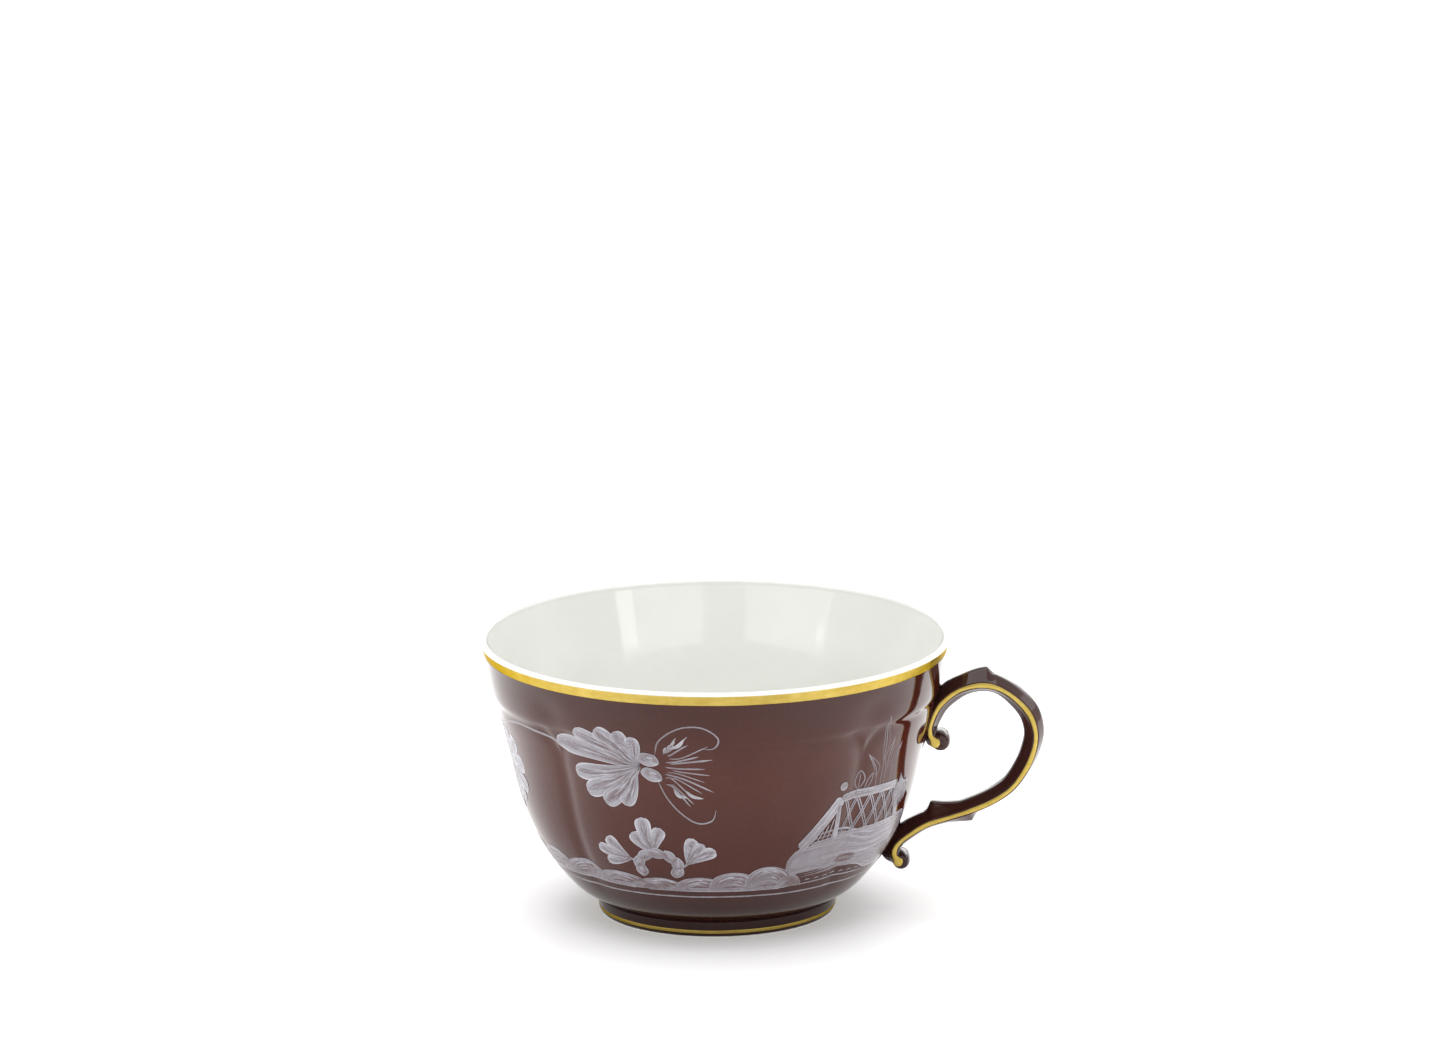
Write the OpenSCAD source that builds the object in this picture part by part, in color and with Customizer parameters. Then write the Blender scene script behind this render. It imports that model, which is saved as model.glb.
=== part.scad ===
// Porcelain teacup: a footed bowl with a moulded collar, a scrolled handle held on with slip,
// a white glaze inside, a coloured ground outside, gold lines and a painted band.
// The cup's axis is Z, the handle points along +X, and the foot stands on z = 0.

/* [Bowl] */
// Diameter of the rim, over the gold band
rim_d = 97; // [90:0.5:104]
// Height from the resting face to the top of the lip
cup_h = 58.1; // [54:0.1:64]
// Thickness of the lip
lip_t = 1.6; // [1.4:0.1:2]
// Height of the inner floor above the resting face
floor_z = 5.8; // [5.4:0.1:6.6]

/* [Foot] */
// Diameter of the foot ring at the resting face
foot_d = 48.6; // [46:0.2:50]
// Height of the foot ring
foot_h = 3.4; // [3:0.1:4]
// Width of the foot ring at the resting face
foot_w = 1.9; // [1.6:0.1:2.6]

/* [Handle] */
// Depth of the handle from side to side, without its gold
handle_depth = 7.4; // [6:0.2:9]
// Thickness of the handle's strap where it is widest
strap_t = 4.2; // [3.6:0.1:4.8]
// Thickness of the slip that holds the handle on the bowl
slip_t = 0.4; // [0.3:0.05:0.6]

/* [Coats] */
// Thickness of the glaze and of the coloured ground
coat_t = 0.25; // [0.2:0.01:0.3]
// Height of the gold and of the paint above what they lie on
line_t = 0.12; // [0.08:0.01:0.2]
// Width of the gold line on the handle
gold_w = 0.8; // [0.6:0.05:1]

/* [Hidden] */
$fn = 96;

rim_r = rim_d / 2;
lip_r = lip_t / 2;
rim_z = cup_h - lip_r;
foot_r = foot_d / 2;
foot_top_r = foot_r + 0.5;
foot_slip_t = 0.3;
base_z = foot_h + foot_slip_t;

// Heights of the painted and gilded lines
gold_band_z = 0.952 * cup_h;
foot_line_z = 0.9;
foot_line_w = 0.8;
ring_line_z = 0.190 * cup_h;
scallop_z = 0.235 * cup_h;
scallop_w = 4.2;
line_w = 0.5;

PORCELAIN = [0.93, 0.93, 0.91];
GLAZE = [0.96, 0.96, 0.94];
GROUND = [0.34, 0.2, 0.17];
GOLD = [0.86, 0.72, 0.3];
PAINT = [0.72, 0.68, 0.7];

// ---- Curves -------------------------------------------------------------------------------

// A point on the smooth curve from b to c, whose neighbours are a and d
function curve_point(a, b, c, d, t) =
    0.5 * (2 * b + (c - a) * t + (2 * a - 5 * b + 4 * c - d) * t * t
    + (3 * b - a - 3 * c + d) * t * t * t);

// A smooth curve through every point, with this many steps from each to the next
function curve(points, steps) =
    let (last = len(points) - 1)
    [
        for (i = [0 : last - 1], k = [0 : steps - 1])
            curve_point(
                points[max(i - 1, 0)], points[i], points[i + 1], points[min(i + 2, last)], k / steps),
        points[last]
    ];

function arc(centre, r, from, to, steps) =
    [for (k = [0 : steps]) let (a = from + (to - from) * k / steps) centre + r * [cos(a), sin(a)]];

function reversed(points) = [for (i = [len(points) - 1 : -1 : 0]) points[i]];

function unit(v) = v / norm(v);

// Direction of travel at point i of a path
function heading(path, i) = unit(path[min(i + 1, len(path) - 1)] - path[max(i - 1, 0)]);

// The direction a quarter turn to the left of v
function left(v) = [-v[1], v[0]];

// The same path moved sideways, to its left for a positive distance
function beside(path, distance) =
    [for (i = [0 : len(path) - 1]) path[i] + distance * left(heading(path, i))];

// The stretch of a wall outline between two heights
function between(path, low, high) = [for (p = path) if (p[1] >= low && p[1] <= high) p];

// ---- Outline of the bowl, as [radius, height] ---------------------------------------------

// Full lower bowl, rising more steeply to the step under the collar
body_line = curve([
    [foot_top_r, base_z],
    [0.620 * rim_r, 0.122 * cup_h],
    [0.736 * rim_r, 0.250 * cup_h],
    [0.823 * rim_r, 0.404 * cup_h],
    [0.882 * rim_r, 0.601 * cup_h],
    [0.926 * rim_r, 0.752 * cup_h]
], 4);

// The moulded step, then a shallow cove that flares to the rim
collar_line = curve([
    [0.929 * rim_r, 0.778 * cup_h],
    [0.955 * rim_r, 0.815 * cup_h],
    [0.964 * rim_r, 0.862 * cup_h],
    [0.975 * rim_r, 0.905 * cup_h],
    [0.986 * rim_r, gold_band_z],
    [rim_r, rim_z]
], 3);

outside = concat(body_line, collar_line);

// Plain smooth inner face, from the middle of the floor to the lip
inside = curve([
    [0, floor_z],
    [0.37 * rim_r, floor_z + 0.4],
    [0.56 * rim_r, floor_z + 3.3],
    [0.685 * rim_r, 0.258 * cup_h],
    [0.771 * rim_r, 0.404 * cup_h],
    [0.833 * rim_r, 0.601 * cup_h],
    [0.879 * rim_r, 0.752 * cup_h],
    [0.926 * rim_r, 0.872 * cup_h],
    [rim_r - lip_t, rim_z]
], 4);

// Over the lip from the inner face to the outer one
lip = arc([rim_r - lip_r, rim_z], lip_r, 180, 0, 8);

// What stays inside the coats: the same faces, one coat deeper
core_outside = beside(outside, coat_t);
core_inside = beside(inside, -coat_t);
core_lip = arc([rim_r - lip_r, rim_z], lip_r - coat_t, 180, 0, 8);

ground_line = between(outside, 0, gold_band_z + 0.01);
gold_band_line = between(outside, gold_band_z - 0.01, cup_h);

// Spins an [radius, height] outline around the cup's axis
module turned(outline) {
    rotate_extrude() polygon(outline);
}

// A thin layer on a wall outline: it starts this far out from the line and is this thick
module layer(path, start, thickness) {
    turned(concat(beside(path, -start), reversed(beside(path, -start - thickness))));
}

// The whole bowl as a solid, this much fatter than its outer face
module bowl_envelope(extra) {
    fat = beside(outside, -extra);
    turned(concat([[0, base_z]], fat, [[0, rim_z]]));
}

// ---- Bowl and foot ------------------------------------------------------------------------

module bowl_wall() {
    color(PORCELAIN)
        turned(concat(
            [[0, base_z]],
            core_outside,
            reversed(core_lip),
            reversed(core_inside)));
}

module foot_ring() {
    inner_r = foot_r - foot_w;
    color(PORCELAIN)
        turned([
            [inner_r, 0],
            [foot_r - coat_t - 0.3, 0],
            [foot_r - coat_t, 0.3],
            [foot_top_r - coat_t, foot_h],
            [inner_r - 1.4, foot_h],
            [inner_r - 0.6, 0.5 * foot_h],
            [inner_r - 0.1, 0.3]
        ]);
}

// Slip that holds the foot ring under the bowl
module foot_slip_joint() {
    color(PORCELAIN)
        difference() {
            translate([0, 0, foot_h]) cylinder(h = foot_slip_t, r = foot_top_r - coat_t);
            translate([0, 0, foot_h - 1]) cylinder(h = foot_slip_t + 2, r = foot_r - foot_w - 1.2);
        }
}

// ---- Handle -------------------------------------------------------------------------------

// Stations along the handle, from the upper scroll, up the bowl and over the loop, then down the
// lower arm to the lower scroll: [x, z] of the ridge, then how far the strap reaches outward and
// inward from it. x and z are shares of the rim's radius and of the height, the reaches are in mm.
stations = [
    [0.934, 0.619, 2.0, 1.3],
    [0.913, 0.650, 1.6, 1.5],
    [0.918, 0.691, 1.7, 1.9],
    [0.953, 0.753, 2.2, 2.2],
    [1.014, 0.800, 2.3, 2.3],
    [1.076, 0.822, 2.3, 2.1],
    [1.142, 0.829, 2.2, 2.0],
    [1.208, 0.817, 1.8, 1.9],
    [1.278, 0.779, 1.9, 2.2],
    [1.338, 0.721, 2.0, 2.4],
    [1.363, 0.652, 1.8, 2.5],
    [1.353, 0.586, 1.5, 2.6],
    [1.318, 0.518, 1.4, 2.5],
    [1.258, 0.450, 1.4, 2.2],
    [1.175, 0.402, 1.5, 2.1],
    [1.080, 0.368, 1.6, 2.0],
    [0.986, 0.342, 1.7, 2.0],
    [0.899, 0.318, 1.6, 2.1],
    [0.829, 0.283, 1.6, 2.3],
    [0.775, 0.246, 1.5, 2.5],
    [0.758, 0.211, 1.1, 2.8],
    [0.775, 0.182, 1.0, 1.6]
];
strap_steps = 3;
reach = strap_t / 4.2;
strap_line = curve(
    [for (p = stations) [p[0] * rim_r, p[1] * cup_h, p[2] * reach, p[3] * reach]],
    strap_steps);
strap_last = len(strap_line) - 1;
ridge = [for (p = strap_line) [p[0], p[1]]];

// A leaf-like point on the strap: it peaks at one station and falls off before and after it
function spur(i, peak, before, after, height) =
    let (u = i / strap_steps)
    height * max(0, 1 - (u < peak ? (peak - u) / before : (u - peak) / after));

// How far the strap reaches outward and inward at ring i, with its spurs: the thumb spur on top
// of the loop, one under the lower arm and one above it
function reach_out(i) = strap_line[i][2] + spur(i, 6, 1.5, 0.4, 0.8) + spur(i, 15, 0.4, 1, 1);

function reach_in(i) = strap_line[i][3] + spur(i, 16.67, 1.2, 0.4, 1.3);

corner_steps = 3;

// Outline across the strap: [sideways, depth] of a bar with a flat side, round its four corners in turn
function bar(out, in, depth) =
    [
        for (q = [[1, 1, 0], [-1, 1, 90], [-1, -1, 180], [1, -1, 270]], k = [0 : corner_steps])
            let (a = q[2] + 90 * k / corner_steps, half = q[0] > 0 ? out : in, r = 0.62 * half)
            [q[0] * (half - r) + r * cos(a), q[1] * (depth - min(r, 1.5)) + min(r, 1.5) * sin(a)]
    ];

// Places an outline across the handle's plane at a point, square to a direction of travel
function across(outline, at, direction) =
    let (n = left(direction))
    [for (p = outline) [at[0] + p[0] * n[0], p[1], at[1] + p[0] * n[1]]];

cap_steps = 3;

// Rounded end of the strap: rings that shrink along a half circle, from the tip to the end or back
function cap(i, way) =
    let (r = min(reach_out(i), reach_in(i)), d = heading(ridge, i))
    [
        for (k = [1 : cap_steps])
            let (a = 80 * (way < 0 ? cap_steps + 1 - k : k) / cap_steps, share = cos(a))
            across(
                bar(reach_out(i) * share, reach_in(i) * share, handle_depth / 2 - 0.5 * r * (1 - share)),
                ridge[i] + way * r * sin(a) * d, d)
    ];

strap_rings = concat(
    cap(0, -1),
    [
        for (i = [0 : strap_last])
            across(bar(reach_out(i), reach_in(i), handle_depth / 2), ridge[i], heading(ridge, i))
    ],
    cap(strap_last, 1));

// A closed skin over a row of rings that all have the same number of points
module skin(rings) {
    n = len(rings[0]);
    last = len(rings) - 1;
    polyhedron(
        [for (ring = rings, p = ring) p],
        concat(
            [[for (k = [n - 1 : -1 : 0]) k]],
            [
                for (i = [0 : last - 1], k = [0 : n - 1])
                    let (j = (k + 1) % n)
                    [i * n + k, i * n + j, (i + 1) * n + j, (i + 1) * n + k]
            ],
            [[for (k = [0 : n - 1]) last * n + k]]));
}

// The rolled end of a scroll: a short bar across the handle with rounded edges
module scroll(x, z, r) {
    half = handle_depth / 2 - 0.1;
    edge = 0.6;
    translate([x * rim_r, 0, z * cup_h]) rotate([90, 0, 0])
        turned(concat(
            [[0, -half]],
            arc([r - edge, edge - half], edge, -90, 0, 3),
            arc([r - edge, half - edge], edge, 0, 90, 3),
            [[0, half]]));
}

module handle() {
    color(GROUND)
        difference() {
            union() {
                skin(strap_rings);
                scroll(0.958, 0.617, 2.0);
                scroll(0.788, 0.178, 1.8);
            }
            bowl_envelope(slip_t);
        }
}

// A pad of slip between the bowl and one end of the handle, centred at a height
module slip_joint(z, length, width) {
    color(GROUND)
        intersection() {
            difference() {
                bowl_envelope(slip_t);
                bowl_envelope(0);
            }
            translate([0, 0, z]) rotate([0, 90, 0]) linear_extrude(rim_r)
                scale([length / width, 1]) circle(d = width);
        }
}

module upper_slip_joint() {
    slip_joint(0.708 * cup_h, 0.25 * cup_h, handle_depth);
}

module lower_slip_joint() {
    slip_joint(0.245 * cup_h, 0.16 * cup_h, handle_depth);
}

// ---- Gold on the handle -------------------------------------------------------------------

// Half the width of the gold line, which swells to a round spot on each scroll
function gold_half(i) =
    let (from_end = min(i, strap_last - i) / strap_steps)
    gold_w / 2 * (1 + 1.4 * max(0, 1 - from_end / 0.7));

function gold_outline(half) =
    [for (k = [0 : 6]) [half * cos(30 * k), 2 * line_t * sin(30 * k)]];

// The gold line along the ridge, on the side of the handle that faces -Y
module handle_gold() {
    rings = [
        for (i = [0 : strap_last])
            across(gold_outline(gold_half(i)), ridge[i], heading(ridge, i))
    ];
    color(GOLD) mirror([0, 1, 0]) translate([0, handle_depth / 2, 0]) skin(rings);
}

module handle_gold_front() {
    handle_gold();
}

module handle_gold_back() {
    mirror([0, 1, 0]) handle_gold();
}

// ---- Coats and lines ----------------------------------------------------------------------

// White glaze over the inside and the lip
module inner_glaze() {
    color(GLAZE)
        turned(concat(inside, lip, reversed(core_lip), reversed(core_inside)));
}

// White glaze under the bowl, inside the foot ring
module base_glaze() {
    color(GLAZE)
        translate([0, 0, base_z - coat_t]) cylinder(h = coat_t, r = foot_r - foot_w - 1.5);
}

module bowl_ground() {
    color(GROUND) layer(ground_line, -coat_t, coat_t);
}

module foot_ground() {
    color(GROUND)
        turned([
            [foot_r - coat_t, 0.3],
            [foot_r, 0.3 + coat_t],
            [foot_top_r, foot_h],
            [foot_top_r - coat_t, foot_h]
        ]);
}

module rim_gold_band() {
    color(GOLD) layer(gold_band_line, -coat_t, coat_t);
}

module foot_gold_line() {
    low_r = foot_r + 0.5 * foot_line_z / foot_h;
    high_r = foot_r + 0.5 * (foot_line_z + foot_line_w) / foot_h;
    color(GOLD)
        turned([
            [low_r, foot_line_z],
            [low_r + line_t, foot_line_z],
            [high_r + line_t, foot_line_z + foot_line_w],
            [high_r, foot_line_z + foot_line_w]
        ]);
}

// A painted stripe on the bowl's outer face between two heights, which stops beside the handle
module painted_stripe(low, high) {
    gap = handle_depth + 1.2;
    color(PAINT)
        difference() {
            intersection() {
                layer(body_line, 0, line_t);
                translate([0, 0, low]) cylinder(h = high - low, r = rim_r);
            }
            translate([0, -gap / 2, 0]) cube([rim_r, gap, cup_h]);
        }
}

module painted_ring_line() {
    painted_stripe(ring_line_z, ring_line_z + line_w);
}

module painted_scallop_band() {
    painted_stripe(scallop_z, scallop_z + scallop_w);
}

bowl_wall();
foot_ring();
handle();
upper_slip_joint();
lower_slip_joint();
foot_slip_joint();
inner_glaze();
base_glaze();
bowl_ground();
foot_ground();
rim_gold_band();
foot_gold_line();
handle_gold_front();
handle_gold_back();
painted_ring_line();
painted_scallop_band();
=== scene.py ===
"""Looks of a porcelain teacup: a lobed bowl with a coloured ground, white glaze inside, gilding,
a scrolled handle and brushed decoration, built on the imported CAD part."""

import math
import random

import bmesh
import bpy
import numpy as np
from mathutils import Matrix, Vector


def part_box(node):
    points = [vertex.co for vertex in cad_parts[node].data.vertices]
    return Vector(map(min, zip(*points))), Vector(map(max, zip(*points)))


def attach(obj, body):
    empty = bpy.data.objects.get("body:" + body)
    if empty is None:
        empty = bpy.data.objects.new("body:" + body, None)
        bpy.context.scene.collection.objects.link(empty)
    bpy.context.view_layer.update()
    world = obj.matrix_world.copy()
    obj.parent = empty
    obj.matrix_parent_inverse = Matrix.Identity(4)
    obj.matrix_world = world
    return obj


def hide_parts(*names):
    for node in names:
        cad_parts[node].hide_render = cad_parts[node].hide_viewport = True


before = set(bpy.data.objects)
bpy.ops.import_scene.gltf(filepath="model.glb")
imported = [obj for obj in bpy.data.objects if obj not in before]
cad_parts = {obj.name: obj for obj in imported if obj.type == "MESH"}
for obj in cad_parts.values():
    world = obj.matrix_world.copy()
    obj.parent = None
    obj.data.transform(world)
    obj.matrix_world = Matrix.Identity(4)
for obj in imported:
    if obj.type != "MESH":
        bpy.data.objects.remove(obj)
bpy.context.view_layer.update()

MM = 0.001

# ---- Sizes, in mm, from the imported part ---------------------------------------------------


def corners(node):
    low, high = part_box(node)
    return np.array(low) / MM, np.array(high) / MM


RIM_R = corners("inner_glaze")[1][1]
CUP_H = corners("inner_glaze")[1][2]
RIM_Z = corners("rim_gold_band")[1][2]
GOLD_LOW = corners("rim_gold_band")[0][2]
FOOT_TOP_R = corners("foot_ground")[1][1]
FOOT_H = corners("foot_ring")[1][2]
BASE_Z = corners("bowl_wall")[0][2]
FLOOR_Z = corners("inner_glaze")[0][2]
HANDLE_HALF = corners("handle")[1][1]
GOLD_HALF = corners("handle_gold_back")[1][1]
LIP_R = CUP_H - RIM_Z
FOOT_FLARE = 0.5
FOOT_BULGE = 0.10
FOOT_EDGE_Z = 0.42
FOOT_R = FOOT_TOP_R - FOOT_FLARE
FOOT_W = 1.9
COAT = 0.25
LEDGE_Z = 0.781 * CUP_H
VALLEYS = np.radians([-135.0, -45.0, 45.0, 135.0])

# ---- Outlines, as [radius, height] --------------------------------------------------------


def curve(points, steps):
    """A smooth curve through every point."""
    p = np.array(points, float)
    p = np.vstack([p[0], p, p[-1]])
    out = []
    for a, b, c, d in zip(p, p[1:], p[2:], p[3:]):
        for k in range(steps):
            t = k / steps
            out.append(
                0.5
                * (
                    2 * b
                    + (c - a) * t
                    + (2 * a - 5 * b + 4 * c - d) * t * t
                    + (3 * b - a - 3 * c + d) * t**3
                )
            )
    out.append(p[-1])
    return np.array(out)


BODY = curve(
    [
        (FOOT_TOP_R, BASE_Z),
        (0.620 * RIM_R, 0.122 * CUP_H),
        (0.736 * RIM_R, 0.250 * CUP_H),
        (0.823 * RIM_R, 0.404 * CUP_H),
        (0.882 * RIM_R, 0.601 * CUP_H),
        (0.910 * RIM_R, 0.698 * CUP_H),
        (0.925 * RIM_R, 0.750 * CUP_H),
        (0.934 * RIM_R, 0.780 * CUP_H),
        (0.951 * RIM_R, 0.812 * CUP_H),
        (0.963 * RIM_R, 0.855 * CUP_H),
        (0.974 * RIM_R, 0.905 * CUP_H),
        (0.986 * RIM_R, 0.952 * CUP_H),
        (RIM_R, RIM_Z),
    ],
    12,
)
WALL_Z = np.linspace(BASE_Z, RIM_Z, 1200)
WALL_R = np.interp(WALL_Z, BODY[:, 1], BODY[:, 0])
SLOPE = np.gradient(WALL_R, WALL_Z)
SLOPE = np.convolve(np.pad(SLOPE, 6, mode="edge"), np.ones(13) / 13, mode="valid")
NORMAL_R = 1 / np.hypot(1, SLOPE)
NORMAL_Z = -SLOPE * NORMAL_R
WALL_S = np.concatenate([[0], np.cumsum(np.hypot(np.diff(WALL_R), np.diff(WALL_Z)))])

INSIDE = curve(
    [
        (0, FLOOR_Z),
        (0.20 * RIM_R, FLOOR_Z + 0.05),
        (0.37 * RIM_R, FLOOR_Z + 0.4),
        (0.56 * RIM_R, FLOOR_Z + 3.3),
        (0.685 * RIM_R, 0.258 * CUP_H),
        (0.771 * RIM_R, 0.404 * CUP_H),
        (0.833 * RIM_R, 0.601 * CUP_H),
        (0.879 * RIM_R, 0.752 * CUP_H),
        (0.926 * RIM_R, 0.872 * CUP_H),
        (RIM_R - 2 * LIP_R, RIM_Z),
    ],
    10,
)


def step_between(x, low, high):
    """0 below low, 1 above high, smooth between."""
    t = np.clip((x - low) / (high - low), 0, 1)
    return t * t * (3 - 2 * t)


def relief(theta, z):
    """How far the face stands out from its round form, in mm, at an azimuth and a height: four
    panels with rounded top corners, grooves between them, and soft dips in the collar."""
    radius = np.interp(z, WALL_Z, WALL_R)
    turn = np.min(
        [np.abs((theta - v + math.pi) % (2 * math.pi) - math.pi) for v in VALLEYS], axis=0
    )
    across = radius * turn
    below = LEDGE_Z - z
    corner = 6.5
    rounded = corner - np.hypot(corner - across, corner - below)
    inside = np.where(
        (across < corner) & (below < corner), rounded, np.minimum(across, below)
    )
    fade = step_between(z, 8, 17)
    panel = np.where(
        inside >= 0, np.exp(-((np.maximum(inside, 0) / 2.0) ** 2)), np.exp(-((inside / 1.2) ** 2))
    )
    over_valley = np.hypot(corner - np.minimum(across, corner), corner) - corner
    above = np.exp(-(((z - LEDGE_Z) / 1.2) ** 2) - (over_valley / 1.2) ** 2)
    groove = np.where(z > LEDGE_Z, above, panel)
    groove = groove * (1 - 0.62 * step_between(across, 2.5, 9))
    lobing = 0.55 * np.exp(-((across / 6.5) ** 2)) * fade * (1 - step_between(z, 40, 47))
    collar = 0.48 * np.exp(-((across / 4.6) ** 2))
    collar = collar * step_between(z, 42, 46.5) * (1 - step_between(z, 49.5, 55))
    return -(0.40 * groove * fade + lobing + collar)


def face(theta, z, lift=0.0):
    """Points on the bowl's outer face, this far out from it, in mm. Azimuth 0 faces -Y."""
    off = relief(theta, z) + lift
    radius = np.interp(z, WALL_Z, WALL_R) + off * np.interp(z, WALL_Z, NORMAL_R)
    height = z + off * np.interp(z, WALL_Z, NORMAL_Z)
    return np.stack([radius * np.sin(theta), -radius * np.cos(theta), height], axis=-1)


# ---- Meshes -------------------------------------------------------------------------------


def solid(name, verts, faces, crease=50):
    """A piece from points in mm and faces, smooth but for its sharp edges."""
    mesh = bpy.data.meshes.new(name)
    mesh.from_pydata([tuple(v * MM for v in p) for p in verts], [], faces)
    mesh.validate()
    work = bmesh.new()
    work.from_mesh(mesh)
    bmesh.ops.recalc_face_normals(work, faces=work.faces)
    work.to_mesh(mesh)
    work.free()
    mesh.polygons.foreach_set("use_smooth", [True] * len(mesh.polygons))
    mesh.set_sharp_from_angle(angle=math.radians(crease))
    piece = bpy.data.objects.new(name, mesh)
    bpy.context.scene.collection.objects.link(piece)
    return piece


def finish_piece(piece, material, slot, *nodes):
    """Gives a piece its material, hangs it on the root body, and hides the CAD nodes that it stands for."""
    piece.data.materials.clear()
    piece.data.materials.append(material)
    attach(piece, "root")
    if nodes:
        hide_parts(*nodes)
    return piece


def ring_faces(rows, size, closed_rows=False):
    """Quads over rows of points, where each row is a closed ring."""
    faces = []
    for i in range(rows if closed_rows else rows - 1):
        a, b = i * size, ((i + 1) % rows) * size
        for k in range(size):
            j = (k + 1) % size
            faces.append((a + k, a + j, b + j, b + k))
    return faces


def tube_faces(rows, size):
    """Rings of points joined into a tube, with a flat cap at each end."""
    faces = ring_faces(rows, size)
    faces.append(tuple(range(size)))
    faces.append(tuple((rows - 1) * size + k for k in range(size)))
    return faces


def fan(pole, row, size):
    """Triangles from one point to the ring that starts at this index."""
    return [(pole, row + k, row + (k + 1) % size) for k in range(size)]


def lathe(name, outline, columns=384, crease=50):
    """Spins an outline round the axis: closed if it never meets the axis, else ending on it."""
    outline = np.array(outline, float)
    angles = np.arange(columns) * 2 * math.pi / columns
    on_axis = [outline[0][0] < 1e-6, outline[-1][0] < 1e-6]
    body = outline[1 if on_axis[0] else 0 : -1 if on_axis[1] else None]
    verts = [
        (r * math.sin(a), -r * math.cos(a), z) for r, z in body for a in angles
    ]
    faces = ring_faces(len(body), columns, closed_rows=not any(on_axis))
    for end, at in ((0, 0), (1, len(body) - 1)):
        if on_axis[end]:
            pole = len(verts)
            verts.append((0, 0, outline[-1 if end else 0][1]))
            faces += fan(pole, at * columns, columns)
    return solid(name, verts, faces, crease)


def wall_rows(low, high):
    """Heights down the wall, closer together over the moulded step."""
    rows, z = [], high
    while z > low:
        rows.append(z)
        z -= 0.32 if 40.5 < z < 50.5 else 0.62
    rows.append(low)
    return np.array(rows)


def arc(centre, r, start, end, steps):
    angles = np.radians(np.linspace(start, end, steps + 1))
    return [(centre[0] + r * math.cos(a), centre[1] + r * math.sin(a)) for a in angles]


def make_bowl_ground(columns=640):
    """The coloured coat over the bowl's outer face: a thin closed shell that follows the lobes."""
    theta = np.arange(columns) * 2 * math.pi / columns
    heights = wall_rows(BASE_Z + 0.02, GOLD_LOW)
    rows = [face(theta, np.full(columns, z)) for z in heights]
    rows += [face(theta, np.full(columns, z), -COAT) for z in heights[::-3]]
    verts = np.concatenate(rows)
    return solid("bowl_ground_coat", verts, ring_faces(len(rows), columns, True))


def make_bowl_wall(columns=640):
    """The porcelain between the coats, lobed outside and smooth inside."""
    theta = np.arange(columns) * 2 * math.pi / columns
    heights = wall_rows(BASE_Z, RIM_Z)
    rows = [face(theta, np.full(columns, z), -COAT) for z in heights[::-1]]
    inner = [(RIM_R - LIP_R, RIM_Z + 0.4)]
    inner += [(r + 0.9 * COAT, z - 0.3 * COAT) for r, z in INSIDE[::-2] if r > 1]
    for r, z in inner:
        rows.append(
            np.stack([r * np.sin(theta), -r * np.cos(theta), np.full(columns, z)], axis=-1)
        )
    verts = list(np.concatenate(rows))
    faces = ring_faces(len(rows), columns)
    last = (len(rows) - 1) * columns
    for row, height in ((0, BASE_Z), (last, FLOOR_Z - COAT)):
        pole = len(verts)
        verts.append((0, 0, height))
        faces += fan(pole, row, columns)
    return solid("bowl_wall_body", verts, faces)


def make_inner_glaze():
    """White glaze over the inside and the rounded lip."""
    inner = [tuple(p) for p in INSIDE]
    lip = arc((RIM_R - LIP_R, RIM_Z), LIP_R, 180, 0, 18)[1:]
    back = arc((RIM_R - LIP_R, RIM_Z), LIP_R - COAT, 0, 180, 10)
    under = [(max(r + COAT, 0), z - 0.5 * COAT) for r, z in INSIDE[-2:0:-1]]
    return lathe(
        "inner_glaze_coat", inner + lip + back + under + [(0, FLOOR_Z - COAT)], 512, 60
    )


def make_foot():
    inner = FOOT_R - FOOT_W
    ring = lathe(
        "foot_ring_body",
        [
            (inner + 0.35, 0.02),
            (inner + 0.7, 0),
            (FOOT_R - COAT - 0.5, 0),
            (FOOT_R - COAT - 0.2, 0.06),
            (FOOT_R - COAT, 0.3),
            (FOOT_TOP_R - COAT, FOOT_H),
            (inner - 1.4, FOOT_H),
            (inner - 1.1, 0.8 * FOOT_H),
            (inner - 0.6, 0.5 * FOOT_H),
            (inner - 0.25, 0.8),
            (inner - 0.05, 0.32),
            (inner + 0.1, 0.12),
        ],
    )
    outer = [(FOOT_R - COAT, 0.28), (FOOT_R - 0.1, 0.3), (FOOT_R, FOOT_EDGE_Z)]
    for t in np.linspace(0.1, 0.9, 9):
        z = FOOT_EDGE_Z + (FOOT_H - FOOT_EDGE_Z) * t
        outer.append((FOOT_R + FOOT_FLARE * t + FOOT_BULGE * math.sin(math.pi * t), z))
    outer += [(FOOT_TOP_R - 0.02, FOOT_H - 0.02), (FOOT_TOP_R - COAT, FOOT_H)]
    coat = lathe("foot_ground_coat", outer)
    joint = lathe(
        "foot_slip_fillet",
        [
            (inner - 1.3, FOOT_H - 0.02),
            (FOOT_TOP_R - 0.3, FOOT_H - 0.02),
            (FOOT_TOP_R - 0.02, FOOT_H + 0.02),
            (FOOT_TOP_R - 0.16, 0.5 * (FOOT_H + BASE_Z)),
            (FOOT_TOP_R + 0.02, BASE_Z + 0.02),
            (FOOT_TOP_R - 0.3, BASE_Z),
            (inner - 1.3, BASE_Z),
            (inner - 1.15, 0.5 * (FOOT_H + BASE_Z)),
        ],
    )
    under = corners("base_glaze")[0][2]
    base = lathe(
        "base_glaze_coat",
        [
            (0, BASE_Z + 0.02),
            (inner - 1.4, BASE_Z + 0.02),
            (inner - 1.4, under + 0.06),
            (inner - 1.9, under + 0.01),
            (0.7 * inner, under + 0.02),
            (0.45 * inner, under + 0.06),
            (0.2 * inner, under + 0.1),
            (0, under + 0.11),
        ],
    )
    return ring, coat, joint, base


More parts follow.
